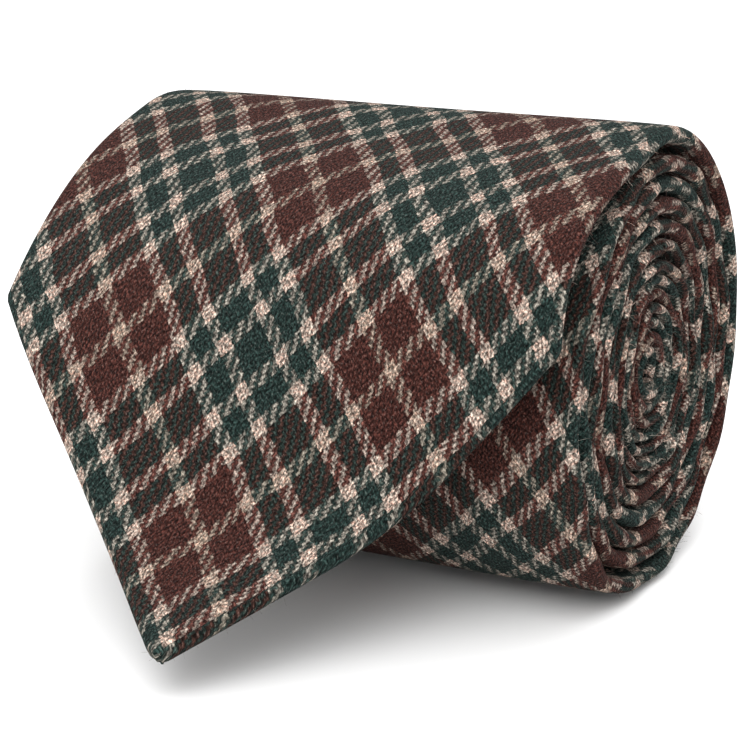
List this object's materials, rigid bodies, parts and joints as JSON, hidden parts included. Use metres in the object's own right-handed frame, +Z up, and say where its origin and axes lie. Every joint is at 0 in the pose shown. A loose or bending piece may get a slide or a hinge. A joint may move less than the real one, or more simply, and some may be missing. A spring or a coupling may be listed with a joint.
{
  "type": "rolled necktie",
  "caption": "Rolled necktie lying on its side, one flush coiled end and a wide pointed end hanging over the front of the roll.",
  "frame": {"origin": "middle of the flat that the roll rests on", "axes": "+X along the roll axis towards the flush coiled end, -Y towards the hanging end, +Z up"},
  "size_m": [0.08, 0.1001, 0.0655],
  "materials": {
    "check_wool": "matt woollen twill, brown, dark green and cream check",
    "interlining": "matt brushed wool interlining",
    "tipping": "dark brown satin facing",
    "thread": "dark brown sewing thread"
  },
  "bodies": {
    "roll": {"wide_blade_shell_roll": "check_wool", "neck_shell": "check_wool", "tail_shell": "check_wool", "interlining_roll": "interlining", "tail_tipping": "tipping", "slip_stitch_roll": "thread", "neck_seam_thread": "thread", "tail_seam_thread": "thread", "tail_bar_tack": "thread", "keeper_loop": "check_wool", "keeper_stitches": "thread"},
    "drape": {"wide_blade_shell_drape": "check_wool", "interlining_drape": "interlining", "tipping_drape": "tipping", "slip_stitch_drape": "thread", "front_bar_tack": "thread"},
    "tip": {"wide_blade_shell_tip": "check_wool", "interlining_tip": "interlining", "tipping_tip": "tipping"}
  },
  "joints": [
    {"name": "drape_lift", "type": "hinge", "parent": "roll", "child": "drape", "pos_m": [0, 0, 0.06555], "axis": [-1, 0, 0], "range_deg": [0, 110]},
    {"name": "tip_curl", "type": "hinge", "parent": "drape", "child": "tip", "pos_m": [0, -0.03784, 0.04161], "axis": [-1, 0, 0], "range_deg": [0, 60]}
  ]
}
